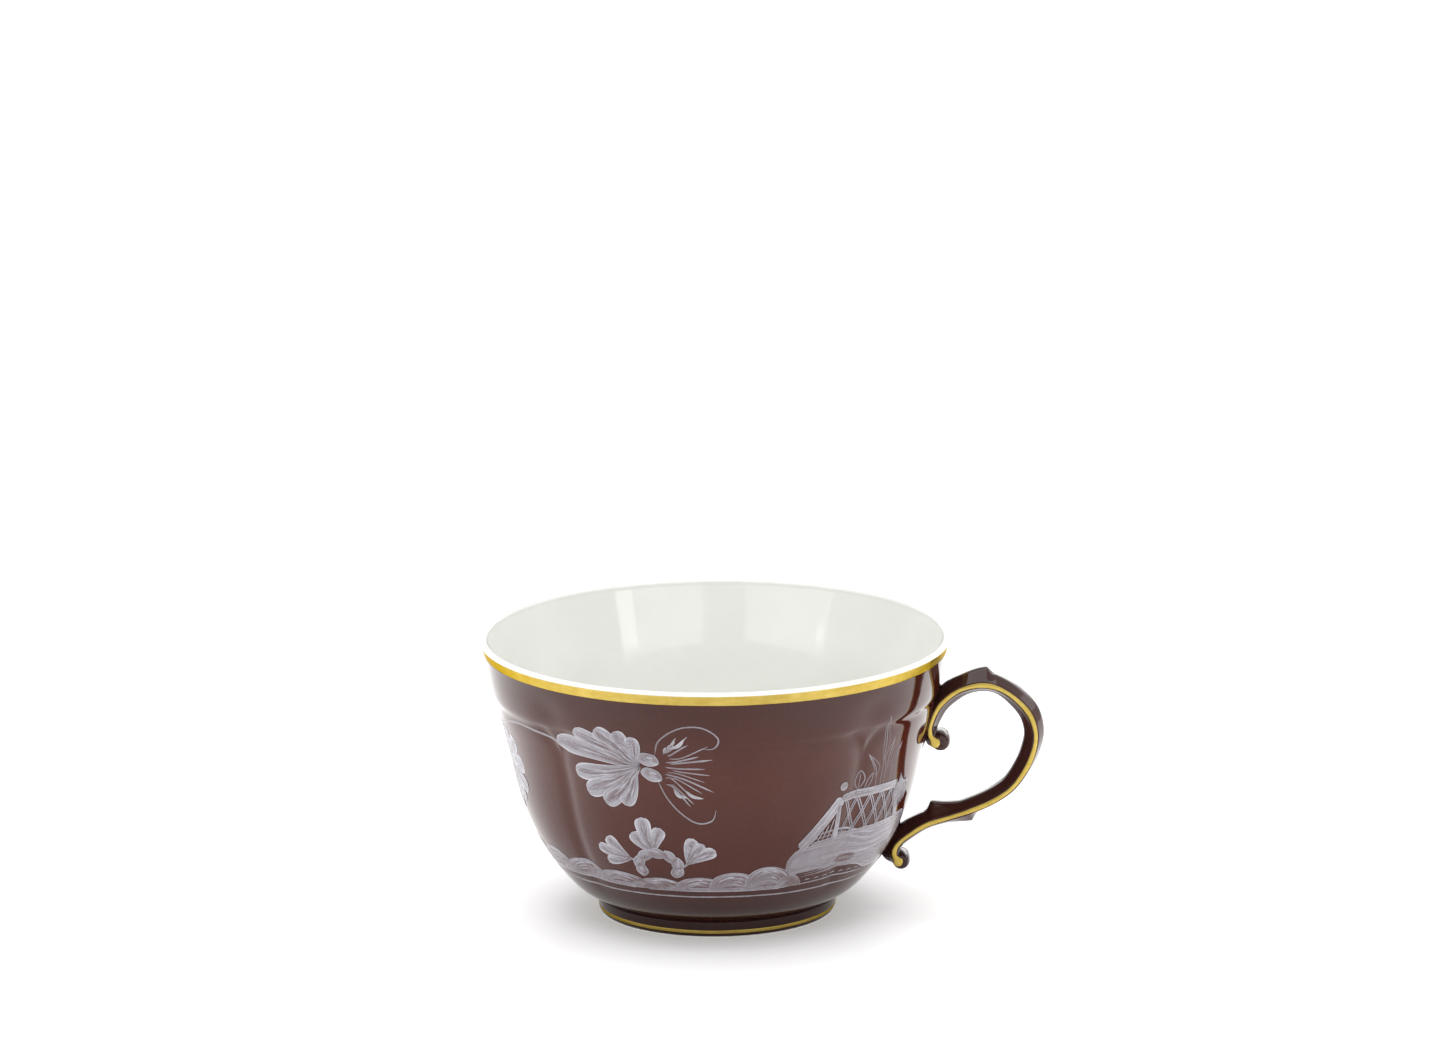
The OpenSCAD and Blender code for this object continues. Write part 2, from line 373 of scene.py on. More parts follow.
def wobble(theta, seed, size, waves=(5, 11, 23)):
    """A slow uneven drift round the cup, as a hand-laid line has."""
    draw = random.Random(seed)
    out = np.zeros_like(theta)
    for n in waves:
        out += math.sqrt(waves[0] / n) * np.sin(n * theta + draw.uniform(0, 6.3))
    return size * out / len(waves)


def make_band(name, surface, theta, low, high, thick, rows=6, closed=True):
    """A painted or gilded line on a face, between two edges, thicker along its middle."""
    share = np.linspace(-1, 1, rows + 1)
    rings = []
    for s in share:
        z = low + (high - low) * (s + 1) / 2
        rings.append(surface(theta, z, 0.01 + thick * (1 - s**4) ** 0.5))
    for s in share[::-1]:
        z = low + (high - low) * (s + 1) / 2
        rings.append(surface(theta, z, -0.06))
    n, rows_all = len(theta), len(rings)
    verts = np.concatenate(rings)
    faces = []
    for i in range(rows_all):
        a, b = i * n, ((i + 1) % rows_all) * n
        for k in range(n if closed else n - 1):
            j = (k + 1) % n
            faces.append((a + k, a + j, b + j, b + k))
    if not closed:
        faces.append(tuple(i * n for i in range(rows_all)))
        faces.append(tuple(i * n + n - 1 for i in reversed(range(rows_all))))
    return solid(name, verts, faces, 70)


def foot_face(theta, z, lift=0.0):
    """Points on the foot's outer face, this far out from it, in mm."""
    t = np.clip((z - FOOT_EDGE_Z) / (FOOT_H - FOOT_EDGE_Z), 0, 1)
    radius = FOOT_R + FOOT_FLARE * t + FOOT_BULGE * np.sin(math.pi * t) + lift
    return np.stack([radius * np.sin(theta), -radius * np.cos(theta), z], axis=-1)


def make_lines():
    theta = np.arange(512) * 2 * math.pi / 512
    rim = make_band(
        "rim_gold",
        lambda a, z, lift: face(a, np.minimum(z, RIM_Z), lift - 0.03),
        theta,
        GOLD_LOW + wobble(theta, 3, 0.10),
        RIM_Z - 0.02 + wobble(theta, 4, 0.03),
        0.035,
        10,
    )
    low, high = corners("foot_gold_line")
    foot = make_band(
        "foot_gold",
        foot_face,
        theta,
        low[2] + 0.05 + wobble(theta, 5, 0.05),
        high[2] - 0.05 + wobble(theta, 6, 0.05),
        0.05,
    )
    gap = math.radians(10.5)
    arc_theta = np.linspace(math.pi / 2 + gap, 2.5 * math.pi - gap, 720)
    low, high = corners("painted_ring_line")
    middle = 0.5 * (low[2] + high[2]) + wobble(arc_theta, 8, 0.10)
    half = 0.17 + wobble(arc_theta, 9, 0.05, (31, 57, 93))
    ring = make_band(
        "painted_ring", face, arc_theta, middle - half, middle + half, 0.05, 4, False
    )
    return rim, foot, ring


# ---- Handle -------------------------------------------------------------------------------

# Along the handle, from the upper scroll over the loop to the lower scroll: the ridge's x and z
# as shares of the rim's radius and the height, then how far it reaches out and in, in mm
STATIONS = [
    (0.934, 0.619, 2.00, 1.30),
    (0.913, 0.650, 1.60, 1.50),
    (0.918, 0.691, 1.70, 1.90),
    (0.953, 0.753, 2.20, 2.20),
    (1.014, 0.800, 2.25, 2.30),
    (1.076, 0.822, 2.30, 2.05),
    (1.142, 0.829, 2.20, 1.95),
    (1.208, 0.817, 1.80, 1.90),
    (1.278, 0.779, 1.85, 2.20),
    (1.338, 0.721, 2.00, 2.40),
    (1.363, 0.652, 1.80, 2.50),
    (1.353, 0.586, 1.50, 2.60),
    (1.318, 0.518, 1.40, 2.45),
    (1.258, 0.450, 1.40, 2.20),
    (1.175, 0.402, 1.45, 2.10),
    (1.080, 0.368, 1.60, 2.00),
    (0.986, 0.342, 1.70, 2.00),
    (0.899, 0.318, 1.60, 2.10),
    (0.829, 0.283, 1.60, 2.30),
    (0.775, 0.246, 1.50, 2.50),
    (0.758, 0.211, 1.10, 2.80),
    (0.775, 0.182, 1.00, 1.60),
]
STRAP_STEPS = 12
STRAP = curve([(x * RIM_R, z * CUP_H, out, into) for x, z, out, into in STATIONS], STRAP_STEPS)
STATION_AT = np.arange(len(STRAP)) / STRAP_STEPS
HEADING = np.gradient(STRAP[:, :2], axis=0)
HEADING /= np.linalg.norm(HEADING, axis=1)[:, None]
SIDEWAYS = np.stack([-HEADING[:, 1], HEADING[:, 0]], axis=1)


def spur(at, peak, before, after, height):
    """A leaf-like point: it swells up to one station and drops off after it."""
    t = np.where(at < peak, (peak - at) / before, (at - peak) / after)
    return height * np.clip(1 - t, 0, 1) ** 1.35


def handle_section(out, into, half):
    """Outline across the strap: [outward, depth]. A flat ridge on each side, with a bevel down to
    the outer edge and a broader one to the inner edge."""
    quarter = [(out, 0.16 * half), (0.90 * out, 0.36 * half), (0.62, half)]
    quarter += [(-0.62, half), (-0.92 * into, 0.38 * half), (-into, 0.18 * half)]
    corners_round = quarter + [(x, -y) for x, y in quarter[::-1]]
    ring = []
    for (x0, y0), (x1, y1) in zip(corners_round, corners_round[1:] + corners_round[:1]):
        for k in range(4):
            x, y = x0 + (x1 - x0) * k / 4, y0 + (y1 - y0) * k / 4
            dent = 0.16 * math.exp(-(((x + 1.05) / 0.35) ** 2)) * (abs(y) > 0.5 * half)
            ring.append((x, y - math.copysign(dent, y)))
    return ring


def make_handle():
    """The strap with its spurs and its two rolled scroll ends, melted into one form."""
    out = STRAP[:, 2] - 0.01 + spur(STATION_AT, 6.15, 1.5, 0.40, 1.1)
    out = out + spur(STATION_AT, 15.08, 0.35, 1.1, 1.3)
    into = STRAP[:, 3] + spur(STATION_AT, 16.55, 1.3, 0.36, 1.8)
    rings = []
    for i in range(len(STRAP)):
        ring = handle_section(out[i], into[i], HANDLE_HALF - 0.02)
        rings.append([STRAP[i, :2], SIDEWAYS[i], ring])
    verts, size = [], len(rings[0][2])

    def put(at, side, ring, shrink=1.0):
        for x, y in ring:
            reach = x * shrink
            depth = y * (0.75 + 0.25 * shrink)
            verts.append((at[0] + reach * side[0], depth, at[1] + reach * side[1]))

    def round_off(i, way, angles):
        for a in angles:
            beyond = way * min(out[i], into[i]) * math.sin(math.radians(a))
            at, side, ring = rings[i]
            put(at + beyond * HEADING[i], side, ring, math.cos(math.radians(a)))

    round_off(0, -1, (80, 60, 35))
    for at, side, ring in rings:
        put(at, side, ring)
    round_off(-1, 1, (35, 60, 80))
    faces = tube_faces(len(verts) // size, size)
    for x, z, r in ((0.958, 0.618, 2.1), (0.788, 0.179, 1.9)):
        roll_verts, roll_faces = scroll_roll(x * RIM_R, z * CUP_H, r)
        faces += [tuple(len(verts) + k for k in f) for f in roll_faces]
        verts += roll_verts
    piece = solid("handle_body", verts, faces)
    fuse(piece, 0.2, 5)
    rest_on_wall(piece.data)
    return piece


def scroll_roll(x, z, r):
    """The rolled end of a scroll, across the handle, with a domed boss on each side."""
    half = HANDLE_HALF - 0.05
    outline = [(0, -half + 0.35), (0.3 * r, -half + 0.22), (0.55 * r, -half + 0.05)]
    outline += [(0.74 * r, -half + 0.3), (0.88 * r, -half + 0.9)]
    outline += [(0.96 * r, -half + 1.7), (r, -half + 2.8)]
    mirror = [(q, -y) for q, y in outline[::-1]]
    rows = (outline + mirror)[1:-1]
    verts, faces = [], []
    columns = 40
    for q, y in rows:
        for k in range(columns):
            a = 2 * math.pi * k / columns
            verts.append((x + q * math.cos(a), y, z + q * math.sin(a)))
    faces = ring_faces(len(rows), columns)
    for row, y in ((0, outline[0][1]), (len(rows) - 1, mirror[-1][1])):
        pole = len(verts)
        verts.append((x, y, z))
        faces += fan(pole, row * columns, columns)
    return verts, faces


def fuse(piece, voxel, rounds):
    """Melts overlapping forms into one closed skin and softens it."""
    remesh = piece.modifiers.new("fuse", "REMESH")
    remesh.mode = "VOXEL"
    remesh.voxel_size = voxel * MM
    smooth = piece.modifiers.new("soften", "SMOOTH")
    smooth.factor = 0.5
    smooth.iterations = rounds
    result = bpy.data.meshes.new_from_object(
        piece.evaluated_get(bpy.context.evaluated_depsgraph_get())
    )
    piece.modifiers.clear()
    piece.data = result
    result.polygons.foreach_set("use_smooth", [True] * len(result.polygons))


def rest_on_wall(mesh, clearance=0.12):
    """Pushes what lies inside the bowl out to just over its face."""
    co = np.zeros(len(mesh.vertices) * 3)
    mesh.vertices.foreach_get("co", co)
    co = co.reshape(-1, 3) / MM
    theta = np.arctan2(co[:, 0], -co[:, 1])
    radius = np.hypot(co[:, 0], co[:, 1])
    least = np.interp(co[:, 2], WALL_Z, WALL_R) + clearance
    push = np.maximum(radius, least) / radius
    co[:, 0] *= push
    co[:, 1] *= push
    mesh.vertices.foreach_set("co", (co * MM).ravel())
    mesh.update()


def make_handle_gold(name, way):
    """The raised gold line along the ridge, with a round spot at each end."""
    at_end = np.minimum(STATION_AT, STATION_AT[-1] - STATION_AT)
    half = 0.48 + 0.05 * np.sin(STATION_AT * 2.3) + 0.62 * np.exp(-((at_end / 0.42) ** 2))
    rings = []
    top = GOLD_HALF - HANDLE_HALF
    for i in range(len(STRAP)):
        rings.append((STRAP[i, :2], SIDEWAYS[i], half[i]))
    start, end = [], []
    for a in (75, 50, 25):
        c, s = math.cos(math.radians(a)), math.sin(math.radians(a))
        start.append((STRAP[0, :2] - s * half[0] * HEADING[0], SIDEWAYS[0], half[0] * c))
        end.insert(0, (STRAP[-1, :2] + s * half[-1] * HEADING[-1], SIDEWAYS[-1], half[-1] * c))
    rings = start + rings + end
    verts = []
    steps = 8
    for at, side, h in rings:
        section = [
            (h * math.cos(math.pi * k / steps), 0.85 * top * math.sin(math.pi * k / steps) ** 0.8)
            for k in range(steps + 1)
        ]
        section += [(-0.7 * h, -0.25), (0.7 * h, -0.25)]
        for x, y in section:
            verts.append(
                (at[0] + x * side[0], way * (HANDLE_HALF - 0.10 + y), at[1] + x * side[1])
            )
    return solid(name, verts, tube_faces(len(rings), steps + 3), 80)


def make_fillet(name, z, height, width):
    """Slip smoothed round one end of the handle: a soft low pad on the wall."""
    columns, rows = 96, 14
    handle_at, top_lift, under_lift = math.pi / 2, 0.36, -0.1
    verts = []

    def outline(k, beyond):
        a = 2 * math.pi * k / columns
        x = math.copysign(abs(math.cos(a)) ** 0.7, math.cos(a)) * (width / 2 + beyond)
        y = math.copysign(abs(math.sin(a)) ** 0.8, math.sin(a)) * (height / 2 + beyond)
        return x, y

    for share in np.linspace(0, 1, rows + 1)[1:]:
        for k in range(columns):
            x, y = outline(k, 0.5)
            at_z = z + y * share
            radius = np.interp(at_z, WALL_Z, WALL_R)
            lift = top_lift * (1 - step_between(share, 0.80, 1.0)) - 0.015
            verts.append(face(np.float64(handle_at + x * share / radius), at_z, lift))
    top = len(verts)
    verts.append(face(np.float64(handle_at), z, top_lift))
    bottom = len(verts)
    verts.append(face(np.float64(handle_at), z, under_lift))
    last = (rows - 1) * columns
    faces = ring_faces(rows, columns)
    faces += fan(top, 0, columns)
    base = len(verts)
    for k in range(columns):
        x, y = outline(k, 0.4)
        radius = np.interp(z + y, WALL_Z, WALL_R)
        verts.append(face(np.float64(handle_at + x / radius), z + y, under_lift))
    for k in range(columns):
        j = (k + 1) % columns
        faces.append((last + k, last + j, base + j, base + k))
        faces.append((bottom, base + k, base + j))
    return solid(name, verts, faces, 80)


# ---- Brushed decoration -------------------------------------------------------------------

# These motifs follow one particular painted cup closely. They aren't generic, and need another
# composition before the part is shared.

TURN = 1.7  # degrees that the cup is turned from the camera
PAINT_LOW = 0.012  # mm from the face up to the first stroke's edge
PAINT_LAYERS = 90  # strokes before the layering starts again
UNDERSIDE = -0.05  # mm, where a stroke's hidden side lies
BANK_Z = 13.0  # mm, the height of the scalloped bank's foot
ON_TOP = 0.045  # mm, how far a fine stroke is raised to show on a broad one


def petal_form(t):
    """Narrow where the brush lifts, full and round at the far end."""
    return (0.10 + 0.90 * t**0.8) * np.sqrt(np.clip(1 - t**7, 0, 1))


def leaf_form(t):
    return np.sin(math.pi * np.clip(t, 0, 1)) ** 0.8


def line_form(t):
    return np.clip(np.minimum(t * 9 + 0.25, (1 - t) * 5 + 0.12), 0, 1)


def bar_form(t):
    return np.clip(np.minimum(t * 16 + 0.5, (1 - t) * 16 + 0.5), 0, 1)


PAINT_VALUES = ("shade", "edge", "along", "seed")


def store(piece, key, values):
    """Keeps a value for each point, which the paint's material reads."""
    layer = piece.data.attributes.new(key, "FLOAT", "POINT")
    layer.data.foreach_set("value", np.array(values, np.float32))


class Painting:
    """Brush strokes laid on the bowl's face, gathered into one piece. Points are in mm to the
    right of the painting's centre and in height above it."""

    def __init__(self, name, azimuth, height, flip=False, size=1.0, layer=0.0015):
        self.name = name
        self.theta = math.radians(azimuth + TURN)
        self.height = height
        self.flip = -1 if flip else 1
        self.size = size
        self.layer = layer
        self.verts, self.faces = [], []
        self.shade, self.edge, self.along, self.seed = [], [], [], []
        self.count = 0
        self.draw = random.Random(name)
        self.base_s = np.interp(height, WALL_Z, WALL_S)

    def place(self, flat, lift):
        """From the painting's own plane to the wall."""
        flat = np.asarray(flat, float)
        s = self.base_s + flat[..., 1] * self.size
        z = np.interp(s, WALL_S, WALL_Z)
        radius = np.interp(z, WALL_Z, WALL_R)
        theta = self.theta + self.flip * flat[..., 0] * self.size / radius
        return face(theta, z, lift)

    def add(self, points, faces, shade, edge, along):
        start = len(self.verts)
        seed = self.draw.random()
        self.verts += list(points)
        self.faces += [tuple(start + k for k in f) for f in faces]
        self.shade += [shade] * len(points)
        self.edge += list(edge)
        self.along += list(along)
        self.seed += [seed] * len(points)
        self.count += 1

    def level(self):
        """How far above the face the next stroke starts, so that it lies on the last one."""
        return PAINT_LOW + self.layer * (self.count % PAINT_LAYERS)

    def stroke(
        self, points, width, shade=0.5, form=line_form, steps=8, across=6, thick=0.05, rim=1.0, lay=0.0
    ):
        """One pull of the brush through these points."""
        line = curve(points, steps)
        gaps = np.linalg.norm(np.diff(line, axis=0), axis=1)
        t = np.concatenate([[0], np.cumsum(gaps)])
        t = t / t[-1]
        heading = np.gradient(line, axis=0)
        heading /= np.maximum(np.linalg.norm(heading, axis=1), 1e-9)[:, None]
        side = np.stack([-heading[:, 1], heading[:, 0]], axis=1)
        half = np.maximum(width / 2 * form(t), 0.03)
        low = lay + self.level()
        flat, lift, edge, along = [], [], [], []
        over = [(-1 + 2 * k / across, True) for k in range(across + 1)]
        under = [(-1 + 2 * k / across, False) for k in range(across - 1, 0, -1)]
        for i in range(len(line)):
            for s, seen in over + under:
                swell = thick * math.sqrt(1 - 0.92 * s * s) * min(1, half[i] * 3)
                flat.append(line[i] + side[i] * half[i] * s)
                lift.append(low + swell if seen else UNDERSIDE)
                edge.append(rim * abs(s))
                along.append(t[i])
        faces = tube_faces(len(line), 2 * across)
        self.add(self.place(flat, np.array(lift)), faces, shade, edge, along)

    def fine(self, points, width, shade, steps):
        """A thin line."""
        self.stroke(points, width, shade, line_form, steps, 4, 0.03)

    def patch(self, outline, shade=0.45, thick=0.05):
        """A filled dab with this outline, brighter in an even rim along its edge."""
        outline = np.array(outline, float)
        centre = outline.mean(axis=0)
        spokes = outline - centre
        reach = np.linalg.norm(spokes, axis=1)[:, None]
        rim = np.minimum(reach, 2.2)
        low = self.level()
        n = len(outline)
        flat, lift, edge, along = [centre], [low + thick], [0.0], [0.5]
        rings = ((0.5, 0.4), (0.5, 0.75), (0.5, 1.0), (0.22, 1.0), (0.08, 1.0), (0.0, 1.0))
        for inset, share in rings:
            flat += list(centre + spokes * (1 - rim * inset / reach) * share)
            out = 1 - 2 * inset
            lift += [low + thick * math.sqrt(1 - 0.92 * out**6)] * n
            edge += [out] * n
            along += [k / n for k in range(n)]
        last = 1 + (len(rings) - 1) * n
        faces = [(0, 1 + k, 1 + (k + 1) % n) for k in range(n)]
        faces += [tuple(1 + v for v in f) for f in ring_faces(len(rings), n)]
        base = len(flat)
        for k in range(n):
            flat.append(centre + (outline[k] - centre) * 0.97)
            lift.append(UNDERSIDE)
            edge.append(1.0)
            along.append(k / n)
        bottom = len(flat)
        flat.append(centre)
        lift.append(UNDERSIDE)
        edge.append(0.0)
        along.append(0.5)
        for k in range(n):
            j = (k + 1) % n
            faces.append((last + k, last + j, base + j, base + k))
            faces.append((bottom, base + k, base + j))
        self.add(self.place(flat, np.array(lift)), faces, shade, edge, along)

    def sheet(self, upper, lower, shade=0.4, thick=0.05):
        """A broad filled area between an upper and a lower line with as many points."""
        top, base = curve(upper, 4), curve(lower, 4)
        low = self.level()
        shares = (0.0, 0.02, 0.06, 0.15, 0.35, 0.65, 0.85, 0.94, 0.98, 1.0)
        flat, lift, edge, along = [], [], [], []
        for i in range(len(top)):
            height = np.linalg.norm(top[i] - base[i])
            for s in shares:
                flat.append(top[i] + (base[i] - top[i]) * s)
                lift.append(low + thick * math.sqrt(1 - 0.92 * abs(2 * s - 1) ** 6))
                edge.append(max(0.0, 1 - min(s, 1 - s) * height / 1.1))
            for s in shares[-2:0:-1]:
                flat.append(top[i] + (base[i] - top[i]) * s)
                lift.append(UNDERSIDE)
                edge.append(0.0)
            along += [i / len(top)] * (2 * len(shares) - 2)
        faces = tube_faces(len(top), 2 * len(shares) - 2)
        self.add(self.place(flat, np.array(lift)), faces, shade, edge, along)

    def build(self):
        piece = solid(self.name, self.verts, self.faces, 75)
        for key in PAINT_VALUES:
            store(piece, key, getattr(self, key))
        return piece


def rotated(x, y, degrees):
    a = math.radians(degrees)
    return (x * math.cos(a) - y * math.sin(a), x * math.sin(a) + y * math.cos(a))


def petal(paint, base, degrees, length, width, bend=0.0, shade=0.42):
    """A petal: one broad pull with bright edges, then finer pulls inside it."""
    base = np.array(base, float)

    def reach(turn, share):
        mid = rotated(length * share * 0.55, bend, degrees + turn * 0.8)
        tip = rotated(length * share, bend * 0.4, degrees + turn)
        return [tuple(base), tuple(base + mid), tuple(base + tip)]

    spread = math.degrees(math.atan2(width * 0.30, length))
    rows = max(6, round(0.9 * length))
    paint.stroke(reach(0, 1.0), width, shade + 0.20, petal_form, rows, 10)
    paint.stroke(reach(0, 0.955), width * 0.78, shade - 0.13, petal_form, rows, 8, 0.05, 0.35)
    for k in range(6):
        turn = paint.draw.uniform(-spread, spread)
        share = paint.draw.uniform(0.60, 0.93)
        tone = shade - 0.16 if k % 3 == 2 else 0.80
        paint.stroke(reach(turn, share), width * 0.06, tone, line_form, rows, 4, 0.02, 0.0, 0.047)


def dab(paint, x, y, rx, ry, tilt=0.0, shade=0.6, dents=0.0, thick=0.05):
    points = []
    for k in range(20):
        a = 2 * math.pi * k / 20
        r = 1 + dents * math.cos(5 * a + 1)
        px, py = rotated(rx * r * math.cos(a), ry * r * math.sin(a), tilt)
        points.append((x + px, y + py))
    paint.patch(points, shade, thick)


def blossom_petals(p):
    """A fan of petals, the longest one in its middle, with short streaks where they meet."""
    petals = [
        (172, 20.2, 5.4, -0.9), (157, 15.8, 5.6, -0.8), (190, 15.4, 5.2, 0.6),
        (140, 11.8, 5.4, -0.7), (208, 14.2, 5.6, 0.8), (119, 9.0, 5.0, -0.4),
        (228, 12.0, 5.4, 0.7), (96, 7.2, 4.4, -0.2), (249, 9.6, 4.8, 0.4),
    ]
    for degrees, length, width, bend in petals:
        petal(p, (-1.2, -0.6), degrees, length, width, bend, 0.34 + 0.12 * p.draw.random())
    for degrees in range(110, 280, 17):
        start = rotated(0.4, 0, degrees)
        end = rotated(p.draw.uniform(3.0, 5.4), 0, degrees)
        middle = ((start[0] + end[0]) / 2 - 0.8, (start[1] + end[1]) / 2 - 0.4)
        streak = [start, middle, (end[0] - 1.0, end[1] - 0.5)]
        p.stroke(streak, 0.3, 0.8, leaf_form, 6, 4, 0.03, 0.2, ON_TOP)


def buds(p):
    """Two oval buds, each with a darker middle and a light stroke."""
    for x, y, tilt in ((1.5, 1.4, -12), (2.0, -2.0, -22)):
        dab(p, x, y, 2.35, 1.45, tilt, 0.62, 0.03)
        dab(p, x + 0.2, y + 0.25, 1.5, 0.75, tilt, 0.50, 0.06)
        dab(p, x + 0.5, y + 0.45, 0.9, 0.30, tilt + 6, 1.0)


def stamens(p):
    """Fine lines that fan out from the buds, with a few thicker bright ones."""
    for k in range(14):
        a = -46 + 86 * k / 13 + p.draw.uniform(-3.5, 3.5)
        reach = 11.0 + 4.0 * math.cos(math.radians(a * 1.5)) + p.draw.uniform(-2.6, 1.2)
        bow = 1.6 * math.sin(math.radians(a)) + p.draw.uniform(-0.3, 0.3)
        mid = rotated(reach * 0.6, -bow, a)
        start = rotated(p.draw.uniform(4.8, 7.0), 0, a * 0.9)
        tip = rotated(reach, 0, a)
        p.fine([start, mid, tip], p.draw.uniform(0.2, 0.36), 0.55, 8)
    for a, near, far, width in ((-39, 8.2, 11.4, 0.8), (-31, 10.0, 14.2, 0.7), (34, 7.2, 11.8, 0.8)):
        middle = rotated((near + far) / 2, -0.5, a)
        p.stroke([rotated(near, 0, a), middle, rotated(far, 0.2, a)], width, 0.95, leaf_form, 8, 4, 0.04)
    for k in range(3):
        x, y = 5.0 + 1.0 * k, 2.8 + 0.8 * k
        p.stroke([(x, y), (x + 0.1, y + 0.9), (x + 0.7, y + 1.7)], 0.45, 0.7, leaf_form, 6, 4, 0.03)


def blossom_spray(name, azimuth, height, flip=False, size=1.0, stem=True):
    """A big open blossom with two buds, a fan of fine stamens and two tendrils."""
    p = Painting(name, azimuth, height, flip, size)
    if stem:
        line = [(-51, -0.6), (-42, 2.0), (-34, 3.4), (-27, 3.1), (-20.5, 2.0), (-16, 1.2)]
        p.stroke(line, 0.42, 0.55, line_form, 16, 4, 0.04)
    blossom_petals(p)
    buds(p)
    stamens(p)
    upper = [(3.0, 2.4), (4.0, 5.6), (6.6, 8.0), (10.0, 9.4)]
    upper += [(13.8, 9.2), (16.6, 6.9), (15.4, 4.4), (12.6, 4.2)]
    lower = [(3.2, -3.2), (4.8, -7.2), (7.4, -10.6), (10.6, -12.8), (13.6, -12.2), (14.6, -9.8)]
    for tendril in (upper, lower):
        p.fine(tendril, 0.30, 0.5, 10)
    return p.build()


def side_blossom(name, azimuth, height, flip=False, size=1.0):
    """A round full-faced blossom, seen half turned away."""
    p = Painting(name, azimuth, height, flip, size, 0.0005)
    for k in range(11):
        a = 360 * k / 11 + 8
        petal(p, (0, 0), a, 9.4 + p.draw.uniform(-0.8, 0.8), 5.2, 0.3, 0.45)
    for k in range(8):
        petal(p, (0, 0), 360 * k / 8 + 20, 5.4, 3.4, 0.0, 0.6)
    dab(p, 0, 0, 1.9, 1.8, 0, 0.75, 0.06)
    for k in range(9):
        a = 40 * k
        x, y = rotated(2.6, 0, a)
        dab(p, x, y, 0.42, 0.42, 0, 0.95)
    return p.build()


def leaf_sprig(paint, base, degrees, length, leaves):
    """A short stem with broad brushed leaves."""
    base = np.array(base, float)
    tip = base + rotated(length, 0, degrees)
    paint.stroke([tuple(base), tuple((base + tip) / 2), tuple(tip)], 0.45, 0.6, line_form, 6, 4)
    for share, turn, size, width in leaves:
        at = base + (tip - base) * share
        petal(paint, tuple(at), degrees + turn, size, width, 0.3, 0.5)


def sprigs(name, azimuth, height, flip=False, size=1.0):
    """Three leafy sprigs growing from an arch of pebbles."""
    p = Painting(name, azimuth, height, flip, size)
    left = [(0.9, -20, 6.8, 3.7), (0.9, 8, 7.8, 3.5), (0.7, 34, 6.2, 3.2)]
    middle = [(0.6, 34, 6.2, 4.0), (0.6, -28, 6.4, 4.0), (0.9, 5, 8.0, 4.6)]
    right = [(0.9, 28, 6.6, 3.7), (0.9, -16, 7.0, 3.7), (0.7, 6, 6.6, 3.4)]
    leaf_sprig(p, (-4.6, 1.6), 156, 1.6, left)
    leaf_sprig(p, (-0.4, 3.2), 97, 1.6, middle)
    leaf_sprig(p, (5.4, 0.8), 44, 1.6, right)
    for k in range(7):
        a = 205 - 230 * k / 6
        x, y = 4.2 * math.cos(math.radians(a)) + 0.2, 0.9 + 3.2 * math.sin(math.radians(a))
        dab(p, x, y, 1.75, 1.30, a + 80, 0.50, 0.04)
        dab(p, x, y + 0.3, 1.0, 0.55, a + 80, 0.75)
    return p.build()


def bank(name, azimuths, tops, bottom):
    """A run of overlapping rounded humps above the ring line."""
    p = Painting(name, 0.5 * (azimuths[0] + azimuths[-1]) - TURN, bottom)
    middle = p.theta
    radius = float(np.interp(bottom + 2, WALL_Z, WALL_R))
    step = abs(azimuths[1] - azimuths[0])
    half = 0.62 * math.radians(step) * radius
    run = [((math.radians(a) - middle) * radius, 0.75) for a in azimuths]
    run = [(run[0][0] - 3, 0.6)] + run + [(run[-1][0] + 3, 0.6)]
    p.stroke(run, 2.3, 0.36, bar_form, 8, 8, 0.05)
    for k, (azimuth, top) in enumerate(zip(azimuths, tops)):
        x = (math.radians(azimuth) - middle) * radius
        height = top - bottom
        outline = [
            (x + half * math.cos(a), (height * 1.12) * math.sin(a) ** 0.75)
            for a in np.linspace(0, math.pi, 18)
        ]
        outline += [(x - half * 0.5, -0.25), (x, -0.35), (x + half * 0.5, -0.25)]
        p.patch(outline, 0.30)
        for share, width, shade in ((0.92, 0.9, 0.70), (0.66, 0.7, 0.34), (0.40, 0.5, 0.62)):
            arch = [
                (x + half * share * math.cos(a), height * 1.10 * share * math.sin(a))
                for a in np.linspace(math.radians(168), math.radians(14), 7)
            ]
            tone = shade + p.draw.uniform(-0.06, 0.06)
            p.stroke(arch, width, tone, leaf_form, 5, 5, 0.04, 0.5, 0.02)
        low = [
            (x + half * 0.8 + 0.55 * half * math.cos(a), height * 0.62 * math.sin(a) ** 0.8 - 0.1)
            for a in np.linspace(0, math.pi, 12)
        ]
        p.patch(low, 0.34 + p.draw.uniform(-0.05, 0.08))
        ridge = [(q, v + 0.05) for q, v in low[2:-2]]
        p.stroke(ridge, 0.5, 0.62, leaf_form, 4, 4, 0.03)
        lens = [(x - 0.45 * half, 0.9), (x, 1.15), (x + 0.45 * half, 0.85)]
        p.stroke(lens, 0.55, 0.02, leaf_form, 6, 4, 0.03, 0.0, 0.04)
        for _ in range(4):
            a0 = p.draw.uniform(0.25, 0.5) * math.pi
            share = p.draw.uniform(0.5, 0.95)
            arch = [
                (x + half * share * math.cos(a), height * 1.1 * share * math.sin(a))
                for a in np.linspace(a0 + 0.9, a0, 4)
            ]
            p.stroke(arch, 0.24, 0.95, line_form, 4, 4, 0.03, 0.0, ON_TOP)
    return p.build()


